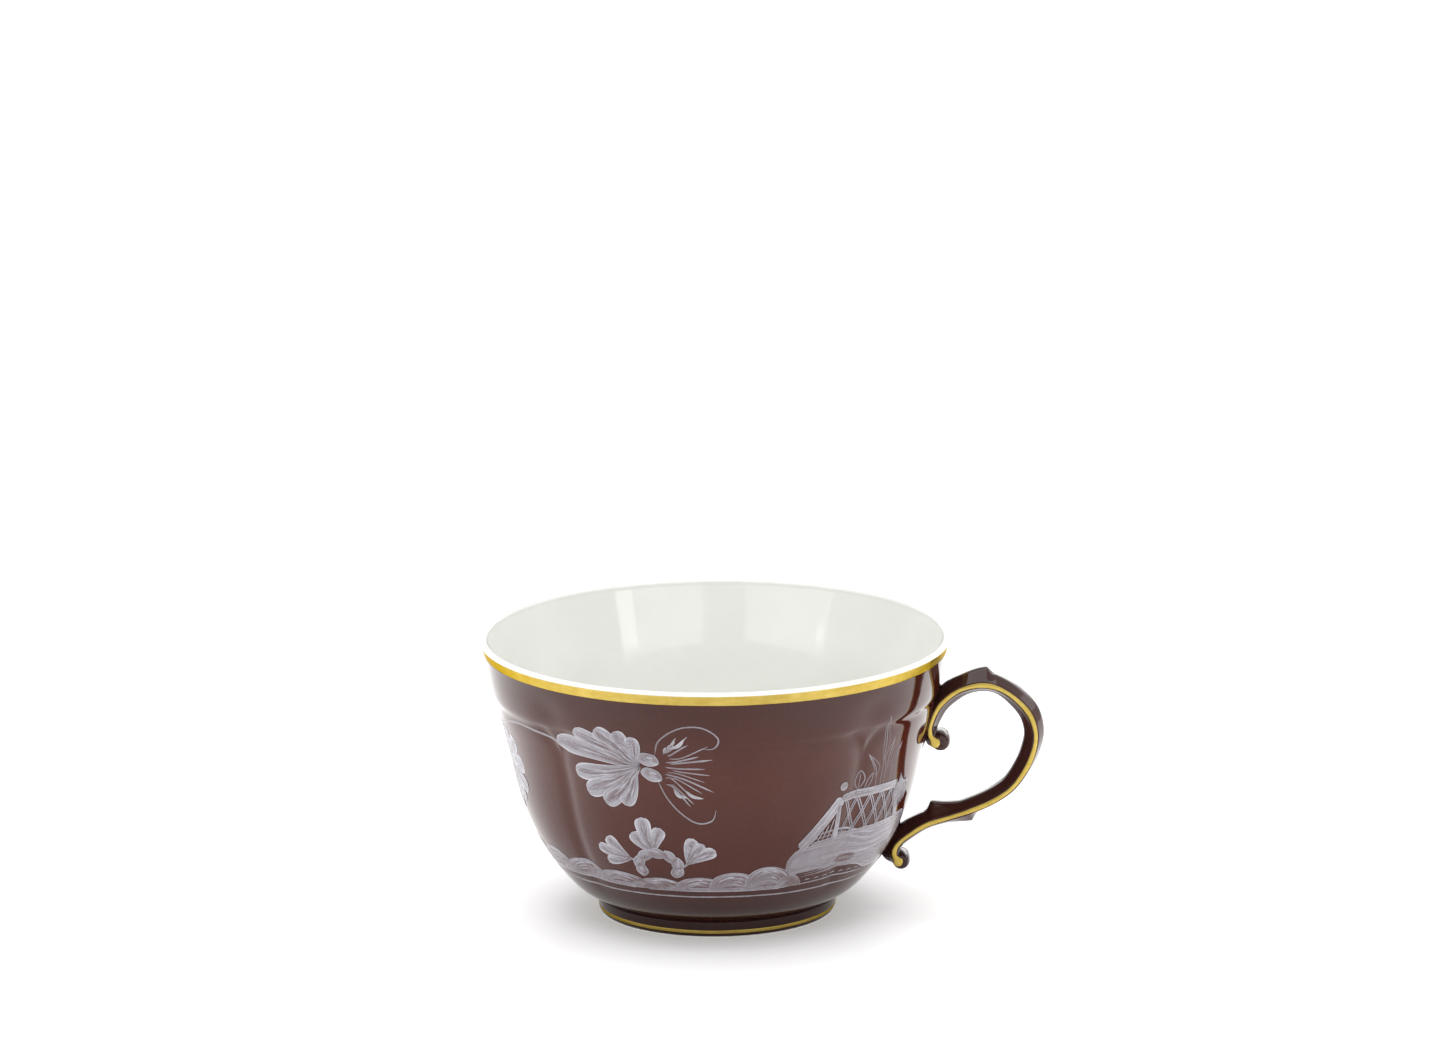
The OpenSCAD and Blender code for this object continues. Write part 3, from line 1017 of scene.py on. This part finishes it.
def mound(p):
    """A filled bank of earth with long pulls over it, a dark leaf and a dotted edge below."""
    crest = [
        (-15.3, -0.9), (-14.6, 0.8), (-13.4, 1.9), (-10.0, 2.4), (-5.0, 2.7), (0.0, 3.0),
        (5.0, 3.4), (9.0, 3.8), (13.0, 4.2), (17.0, 4.5), (19.8, 3.9), (21.2, 0.4),
    ]
    base = [
        (-15.2, -2.0), (-14.4, -4.4), (-13.0, -4.9), (-10.0, -4.4), (-5.0, -4.6), (0.0, -5.2),
        (5.0, -5.9), (8.6, -7.6), (13.0, -8.0), (17.0, -8.1), (19.8, -7.0), (21.2, -2.6),
    ]
    p.sheet(crest, base, 0.60)
    for k in range(13):
        y = 2.4 - 0.62 * k
        left = -13.6 + 0.1 * k + p.draw.uniform(0, 3.0)
        wave = p.draw.uniform(-0.12, 0.12)
        low = min(0.0, -3.4 - y)
        pull = [(left, y - 0.7 - 0.5 * low), (-4, y - 0.3 + wave - 0.5 * low)]
        pull += [(5, y + wave), (12, y + 0.3), (p.draw.uniform(16.0, 20.0), y + 0.5)]
        p.stroke(pull, 0.62, 0.46 + 0.46 * p.draw.random(), leaf_form, 8, 5, 0.04, 0.2, 0.02)
    for k in range(5):
        x = 10.4 + 1.7 * k
        pull = [(x, -7.2), (x + 0.7, -4.2), (x + 1.9, -1.2)]
        p.stroke(pull, 0.8, 0.35 + 0.4 * p.draw.random(), leaf_form, 6, 5, 0.04, 0.3)
    dab(p, 0.4, -3.3, 2.7, 1.05, 6, -1.3, 0.0, 0.11)
    for k in range(5):
        x = -1.3 + 0.8 * k
        p.stroke([(x, -3.9), (x + 0.4, -3.3), (x + 0.9, -2.8)], 0.26, 0.75, leaf_form, 5, 4, 0.03, 0.0, 0.11)
    for k in range(8):
        x = -11.4 + 2.3 * k
        p.stroke([(x, -7.1), (x + 0.7, -6.8), (x + 1.4, -6.9)], 0.3, 0.6, leaf_form, 4, 4, 0.03)
    p.stroke([(-13.4, -7.9), (-6, -7.75), (2, -7.8), (9.5, -7.9)], 0.34, 0.6, line_form, 10, 4, 0.04)


def fence(p):
    """A frame that slopes at its left end, filled with a double lattice."""
    top_left, top_right = (-5.2, 12.2), (12.0, 12.2)
    low_left, low_right = (-13.4, 2.2), (14.2, 4.0)
    for a, b, w in (
        (low_left, top_left, 2.5), (top_left, top_right, 1.8), (top_right, low_right, 1.8),
        ((-5.6, 10.8), (-5.2, 3.0), 1.2), ((-11.0, 2.7), (13.6, 4.0), 1.0),
    ):
        mid = ((a[0] + b[0]) / 2, (a[1] + b[1]) / 2 + 0.15)
        p.stroke([a, mid, b], w, 0.62, bar_form, 8, 8, 0.06)
        for nudge in (-0.3, 0.05, 0.33):
            across, up = nudge * w * 0.6, nudge * w
            streak = [(x + across, y + up) for x, y in (a, mid, b)]
            p.stroke(streak, w * 0.12, 0.95, line_form, 8, 5, 0.04, 0.0, ON_TOP)
    for k in range(5):
        x = -2.4 + 3.5 * k
        for lean in (-1, 1):
            for nudge in (0, 0.6):
                a = (x + 2.2 * lean + nudge, 3.4 + 0.15 * k)
                b = (x - 1.7 * lean + nudge, 11.6)
                mid = ((a[0] + b[0]) / 2, (a[1] + b[1]) / 2)
                p.stroke([a, mid, b], 0.27, 0.62, bar_form, 5, 4, 0.03)


def planting(p):
    """Grass before the fence, leaves at its right end, and drawn reeds behind it."""
    for k in range(5):
        x = -10.9 + 1.15 * k
        pull = [(x, 3.2), (x + 0.5, 3.9 + 0.6 * k), (x + 1.0, 4.5 + 1.15 * k)]
        p.fine(pull, 0.26, 0.7, 5)
    for k in range(5):
        x, y = 12.6 + 1.1 * k, 5.2 + 0.5 * k
        tip = (x + 1.0 - 0.6 * k, y + 8.8 - 1.1 * k)
        p.stroke([(x, y), (x + 0.4, y + 4), tip], 1.15, 0.6, leaf_form, 8, 6, 0.05)
        p.stroke([(x, y), (x + 0.5, y + 4), tip], 0.3, 0.9, leaf_form, 8, 4, 0.05)
    dab(p, -5.2, 15.0, 1.0, 0.95, 0, 0.6)
    dab(p, -5.1, 15.3, 0.5, 0.35, 0, 0.95)
    for x, lean, tall in ((5.6, -0.6, 17.0), (6.6, 0.9, 11.0), (4.2, -2.2, 8.6), (8.6, 1.7, 9.4)):
        root = (x, 12.4)
        tip = (x + lean * 1.6, 12.4 + tall)
        bow = (x + lean * 0.3, 12.4 + tall * 0.55)
        p.stroke([root, bow, tip], 0.2, 0.35, line_form, 9, 4, 0.025)
        for way in (-1, 1):
            foot = (x + lean * 0.2, 12.4 + tall * 0.35)
            side = (bow[0] + way * 0.85, bow[1] + tall * 0.08)
            p.stroke([foot, side, tip], 0.16, 0.32, line_form, 8, 4, 0.025)
    p.fine([(-0.6, 13.0), (-1.8, 15.2), (-0.6, 17.4), (0.8, 15.4), (-0.4, 13.2)], 0.26, 0.45, 8)
    p.fine([(-0.6, 13.0), (-0.5, 15.2), (-0.5, 16.8)], 0.2, 0.4, 6)
    p.fine([(1.0, 12.6), (2.6, 14.4), (2.8, 16.4), (1.6, 15.0), (1.0, 12.8)], 0.24, 0.42, 8)


def garden(name, azimuth, height, flip=False, size=1.0):
    """A sloping mound with a lattice fence on it, reeds and a few drawn leaves."""
    p = Painting(name, azimuth, height, flip, size)
    mound(p)
    fence(p)
    planting(p)
    return p.build()


# ---- Materials ----------------------------------------------------------------------------


class Surface:
    """A node material with its Principled shader and short ways to add to it."""

    def __init__(self, name, **sockets):
        self.material = bpy.data.materials.new(name)
        self.material.use_nodes = True
        self.tree = self.material.node_tree
        self.shader = self.tree.nodes["Principled BSDF"]
        for key, value in sockets.items():
            self.shader.inputs[key.replace("_", " ")].default_value = value
        self.where = self.node("ShaderNodeTexCoord").outputs["Object"]

    def node(self, kind, **values):
        node = self.tree.nodes.new(kind)
        for key, value in values.items():
            setattr(node, key, value)
        return node

    def link(self, source, target):
        self.tree.links.new(source, target)

    def noise(self, scale, detail=3.0, rough=0.5, where=None, distort=0.0):
        node = self.node("ShaderNodeTexNoise")
        node.inputs["Scale"].default_value = scale
        node.inputs["Detail"].default_value = detail
        node.inputs["Roughness"].default_value = rough
        node.inputs["Distortion"].default_value = distort
        self.link(where or self.where, node.inputs["Vector"])
        return node.outputs["Fac"]

    def stretched(self, scale):
        node = self.node("ShaderNodeMapping")
        node.inputs["Scale"].default_value = scale
        self.link(self.where, node.inputs["Vector"])
        return node.outputs["Vector"]

    def span(self, source, low, high, to_low, to_high):
        node = self.node("ShaderNodeMapRange")
        ends = {"From Min": low, "From Max": high, "To Min": to_low, "To Max": to_high}
        for key, value in ends.items():
            node.inputs[key].default_value = value
        self.link(source, node.inputs["Value"])
        return node.outputs["Result"]

    def math(self, operation, a, b):
        node = self.node("ShaderNodeMath", operation=operation)
        for socket, value in zip(node.inputs, (a, b)):
            if isinstance(value, (int, float)):
                socket.default_value = value
            else:
                self.link(value, socket)
        return node.outputs[0]

    def ramp(self, source, *stops):
        node = self.node("ShaderNodeValToRGB")
        bar = node.color_ramp
        bar.elements[0].position, bar.elements[0].color = stops[0][0], (*stops[0][1], 1)
        bar.elements[1].position, bar.elements[1].color = stops[-1][0], (*stops[-1][1], 1)
        for at, colour in stops[1:-1]:
            bar.elements.new(at).color = (*colour, 1)
        self.link(source, node.inputs["Fac"])
        return node.outputs["Color"]

    def attribute(self, name):
        return self.node("ShaderNodeAttribute", attribute_name=name).outputs["Fac"]

    def bump(self, source, distance, strength=1.0, after=None):
        node = self.node("ShaderNodeBump")
        node.inputs["Distance"].default_value = distance
        node.inputs["Strength"].default_value = strength
        self.link(source, node.inputs["Height"])
        if after is not None:
            self.link(after, node.inputs["Normal"])
        return node.outputs["Normal"]

    def set(self, **sources):
        for key, source in sources.items():
            self.link(source, self.shader.inputs[key.replace("_", " ")])
        return self.material


def ground_material(name="ground_enamel", depth=1.0, veil=0.0):
    """Maroon ground under a clear gloss, with painted shade: darker towards the foot and under the gold
    band.
    """
    s = Surface(name, IOR=1.40)
    cloud = s.noise(90, 4, 0.6)
    grain = s.noise(1400, 3, 0.6)
    mix = s.math("ADD", s.math("MULTIPLY", cloud, 0.6), s.math("MULTIPLY", grain, 0.4))
    tones = [(0.052, 0.0088, 0.0040), (0.060, 0.0110, 0.0058), (0.069, 0.0145, 0.0086)]
    # A depth below 1 gives a darker copy of this ground, which is painted shade; veil adds a little grey.
    tones = [tuple(depth * c + veil for c in tone) for tone in tones]
    colour = s.ramp(mix, (0.32, tones[0]), (0.5, tones[1]), (0.70, tones[2]))
    split = s.node("ShaderNodeSeparateXYZ")
    s.link(s.where, split.inputs[0])
    height = s.span(split.outputs[2], 0.0, CUP_H * MM, 0.0, 1.0)
    # Painted shade by height: darkest at the foot, full colour over the middle of the wall, darker again
    # under the gold band.
    shade_by_height = ((0.0, 0.30), (0.14, 0.46), (0.30, 0.90), (0.70, 1.0), (0.92, 0.66))
    painted_shade = s.ramp(height, *((at, (tone,) * 3) for at, tone in shade_by_height))
    shade = s.node("ShaderNodeMix", data_type="RGBA", blend_type="MULTIPLY")
    shade.inputs["Factor"].default_value = 1.0
    s.link(colour, shade.inputs["A"])
    s.link(painted_shade, shade.inputs["B"])
    rough = s.span(s.noise(160, 3, 0.6), 0.3, 0.7, 0.05, 0.09)
    peel = s.bump(s.noise(260, 2, 0.4), 0.00003, 0.25)
    fine = s.bump(s.noise(1100, 2, 0.5), 0.000006, 0.25, peel)
    return s.set(Base_Color=shade.outputs["Result"], Roughness=rough, Normal=fine)


def white_glaze_material():
    s = Surface("white_glaze", IOR=1.5)
    colour = s.ramp(
        s.noise(60, 4, 0.6), (0.35, (0.745, 0.752, 0.715)), (0.65, (0.775, 0.780, 0.745))
    )
    rough = s.span(s.noise(120, 3, 0.6), 0.3, 0.7, 0.04, 0.08)
    wave = s.bump(s.noise(45, 2, 0.4), 0.00008, 0.20)
    fine = s.bump(s.noise(420, 2, 0.5), 0.000010, 0.25, wave)
    return s.set(Base_Color=colour, Roughness=rough, Normal=fine)


def bare_porcelain_material():
    s = Surface("bare_porcelain", IOR=1.5)
    colour = s.ramp(
        s.noise(700, 5, 0.65), (0.35, (0.66, 0.64, 0.59)), (0.65, (0.78, 0.77, 0.73))
    )
    rough = s.span(s.noise(900, 3, 0.6), 0.3, 0.7, 0.5, 0.7)
    grain = s.bump(s.noise(3200, 3, 0.6), 0.00003, 0.6)
    return s.set(Base_Color=colour, Roughness=rough, Normal=grain)


def gold_material():
    s = Surface("gold", Metallic=1.0, Specular_Tint=(0.62, 0.50, 0.24, 1))
    streak = s.noise(1.0, 4, 0.6, s.stretched((420, 420, 1500)))
    cloud = s.noise(220, 3, 0.6)
    mix = s.math("ADD", s.math("MULTIPLY", streak, 0.55), s.math("MULTIPLY", cloud, 0.45))
    colour = s.ramp(
        mix, (0.30, (0.38, 0.262, 0.052)), (0.5, (0.47, 0.343, 0.080)), (0.72, (0.57, 0.435, 0.125))
    )
    rough = s.span(streak, 0.3, 0.7, 0.28, 0.42)
    bump = s.bump(streak, 0.00002, 0.35)
    return s.set(Base_Color=colour, Roughness=rough, Normal=bump)


def paint_material():
    s = Surface("pale_paint", IOR=1.4)
    shade, edge, along, seed = (s.attribute(k) for k in PAINT_VALUES)
    lanes = s.node("ShaderNodeCombineXYZ")
    s.link(s.math("MULTIPLY", edge, 7.0), lanes.inputs[0])
    s.link(s.math("MULTIPLY", along, 1.6), lanes.inputs[1])
    s.link(s.math("MULTIPLY", seed, 60.0), lanes.inputs[2])
    bristle = s.noise(1.6, 3, 0.6, lanes.outputs[0])
    blot = s.noise(900, 3, 0.6)
    rim = s.math("POWER", edge, 5.0)
    body = s.math("MULTIPLY", shade, 0.55)
    body = s.math("ADD", body, s.math("MULTIPLY", rim, 0.34))
    body = s.math("ADD", body, s.math("MULTIPLY", s.math("SUBTRACT", along, 0.45), 0.26))
    body = s.math("ADD", body, s.math("MULTIPLY", s.math("SUBTRACT", bristle, 0.5), 0.85))
    body = s.math("ADD", body, s.math("MULTIPLY", s.math("SUBTRACT", blot, 0.5), 0.22))
    colour = s.ramp(
        body,
        (0.0, (0.120, 0.075, 0.078)),
        (0.3, (0.200, 0.178, 0.198)),
        (0.6, (0.350, 0.338, 0.378)),
        (1.0, (0.70, 0.68, 0.72)),
    )
    rough = s.span(bristle, 0.3, 0.7, 0.18, 0.34)
    bump = s.bump(bristle, 0.00004, 0.5)
    return s.set(Base_Color=colour, Roughness=rough, Normal=bump)


# ---- Put together -------------------------------------------------------------------------

GROUND = ground_material()
# The handle and its slip fillets get a darker, slightly greyer copy of the ground: painted shade on the
# handle.
GROUND_HANDLE_SHADED = ground_material("ground_enamel_handle_shaded", 0.62, 0.009)
GLAZE = white_glaze_material()
BARE = bare_porcelain_material()
GOLD = gold_material()
PAINT = paint_material()


def build_cup():
    finish_piece(make_bowl_wall(), BARE, "bare_porcelain", "bowl_wall")
    finish_piece(make_bowl_ground(), GROUND, "ground_enamel", "bowl_ground")
    finish_piece(make_inner_glaze(), GLAZE, "white_glaze", "inner_glaze")
    ring, coat, joint, base = make_foot()
    finish_piece(ring, BARE, "bare_porcelain", "foot_ring")
    finish_piece(coat, GROUND, "ground_enamel", "foot_ground")
    finish_piece(joint, GROUND, "ground_enamel", "foot_slip_joint")
    finish_piece(base, GLAZE, "white_glaze", "base_glaze")
    rim, foot, line = make_lines()
    finish_piece(rim, GOLD, "gold", "rim_gold_band")
    finish_piece(foot, GOLD, "gold", "foot_gold_line")
    finish_piece(line, PAINT, "pale_paint", "painted_ring_line")
    for key in PAINT_VALUES:
        store(line, key, [0.55] * len(line.data.vertices))


def build_handle():
    finish_piece(make_handle(), GROUND_HANDLE_SHADED, "ground_enamel", "handle")
    finish_piece(make_handle_gold("handle_gold_near", -1), GOLD, "gold", "handle_gold_front")
    finish_piece(make_handle_gold("handle_gold_far", 1), GOLD, "gold", "handle_gold_back")
    for end in ("upper", "lower"):
        node = end + "_slip_joint"
        low, high = corners(node)
        piece = make_fillet(end + "_slip_fillet", (low[2] + high[2]) / 2, high[2] - low[2], high[1] - low[1])
        finish_piece(piece, GROUND_HANDLE_SHADED, "ground_enamel", node)


def build_decoration():
    pieces = [
        blossom_spray("blossom_spray_front", -20, 41.5),
        side_blossom("side_blossom_left", -80, 33.5),
        sprigs("leaf_sprigs_front", -18.5, 18),
        garden("garden_right", 45, 20),
        blossom_spray("blossom_spray_back", 192, 41.0, flip=True, stem=False),
        side_blossom("side_blossom_back", 116, 36.0, size=0.8),
        sprigs("leaf_sprigs_back", 208, 18, flip=True),
        garden("garden_back", 150, 20, flip=True, size=0.95),
    ]
    for piece in pieces:
        finish_piece(piece, PAINT, "pale_paint")
    left = [a + TURN for a in (-81, -65, -49, -33)]
    band = bank("scallops_left", left, [18.2, 18.0, 17.0, 16.4], BANK_Z)
    finish_piece(band, PAINT, "pale_paint", "painted_scallop_band")
    right = [a + TURN for a in (-19, -5.5, 5.5, 17)]
    band = bank("scallops_front", right, [15.8, 16.4, 17.6, 18.6], BANK_Z)
    finish_piece(band, PAINT, "pale_paint")
    back = [104 + 14.5 * k for k in range(12)]
    tops = [16.6 + 1.4 * math.sin(1.3 * k) for k in range(12)]
    finish_piece(bank("scallops_back", back, tops, BANK_Z), PAINT, "pale_paint")


# ---- Studio -------------------------------------------------------------------------------


def area_light(name, at, target, size, strength):
    """A soft rectangular panel that faces a point. Strength is its radiance."""
    data = bpy.data.lights.new(name, "AREA")
    data.shape = "RECTANGLE"
    data.size, data.size_y = size
    data.energy = strength * size[0] * size[1] * math.pi
    lamp = bpy.data.objects.new(name, data)
    lamp.location = at
    lamp.rotation_euler = (Vector(target) - Vector(at)).to_track_quat("-Z", "Y").to_euler()
    bpy.context.scene.collection.objects.link(lamp)
    return lamp


def around(azimuth, elevation, distance, height=0.03):
    a, e = math.radians(azimuth), math.radians(elevation)
    flat = distance * math.cos(e)
    return (flat * math.sin(a), -flat * math.cos(a), height + distance * math.sin(e))


def upright_panel(name, azimuth, spread, elevation, distance, strength, lean):
    """A standing panel that fills this many degrees round the cup, leant over in its own plane."""
    at = around(azimuth, elevation, distance)
    flat = math.hypot(at[0], at[1])
    width = 2 * flat * math.tan(math.radians(spread / 2))
    lamp = area_light(name, at, (0, 0, at[2]), (width, 0.45), strength)
    turn = lamp.rotation_euler.to_matrix() @ Matrix.Rotation(math.radians(lean), 3, "Z")
    lamp.rotation_euler = turn.to_euler()
    return lamp


# Name, azimuth, degrees filled, elevation, distance, strength, lean in degrees
PANELS = (
    ("right_window", 33, 48, 27, 1.6, 1.22, -12),
    ("right_edge", 52.5, 9, 27, 1.55, 2.3, -12),
    ("left_window", -40, 48, 27, 1.6, 1.25, 12),
    ("left_edge", -61, 5, 27, 1.55, 2.0, 12),
    ("back_panel", 180, 60, 14, 1.7, 2.2, 0),
    ("right_back", 134, 52, 24, 1.65, 1.18, 0),
    ("left_back", -134, 52, 24, 1.65, 1.28, 0),
)


def build_studio():
    world = bpy.data.worlds.new("studio")
    bpy.context.scene.world = world
    world.use_nodes = True
    back = world.node_tree.nodes["Background"]
    back.inputs["Color"].default_value = (1.0, 1.0, 0.995, 1)
    back.inputs["Strength"].default_value = 0.84
    mesh = bpy.data.meshes.new("floor")
    s = 5.0
    mesh.from_pydata([(-s, -s, 0), (s, -s, 0), (s, s, 0), (-s, s, 0)], [], [(0, 1, 2, 3)])
    floor = bpy.data.objects.new("floor", mesh)
    bpy.context.scene.collection.objects.link(floor)
    white = (1, 1, 1, 1)
    surface = Surface(
        "pale_floor", Roughness=0.9, Base_Color=white, Specular_IOR_Level=0.0, Emission_Color=white
    )
    # Painted light: the floor glows a little in front of the cup and more to each side, lightening its
    # shadow and the cup's reflections of it.
    split = surface.node("ShaderNodeSeparateXYZ")
    surface.link(surface.where, split.inputs[0])
    aside = surface.math("ABSOLUTE", split.outputs[0], 0.0)
    painted_glow = surface.span(aside, 0.03, 0.10, 0.12, 0.58)
    mesh.materials.append(surface.set(Emission_Strength=painted_glow))
    area_light("top_panel", (0.0, 0.1, 1.5), (0, 0, 0), (1.4, 1.4), 1.7)
    for panel in PANELS:
        upright_panel(*panel)


def build_camera():
    """A long lens aimed at the middle of the rim, from a little above it."""
    data = bpy.data.cameras.new("camera")
    data.sensor_width = 36
    data.lens = 263.5
    data.shift_x = 0.0051
    data.shift_y = 0.0794
    data.clip_end = 50
    camera = bpy.data.objects.new("camera", data)
    aim = Vector((0, 0, RIM_Z * MM))
    camera.location = aim + Vector(around(TURN, 14.19, 45 * RIM_R * MM, 0))
    turn = (aim - camera.location).to_track_quat("-Z", "Y").to_matrix()
    roll = Matrix.Rotation(math.radians(-0.47), 3, "Z")
    camera.rotation_euler = (turn @ roll).to_euler()
    bpy.context.scene.collection.objects.link(camera)
    bpy.context.scene.camera = camera


bpy.context.scene.view_settings.view_transform = "Standard"
build_camera()
build_studio()
build_cup()
build_handle()
build_decoration()
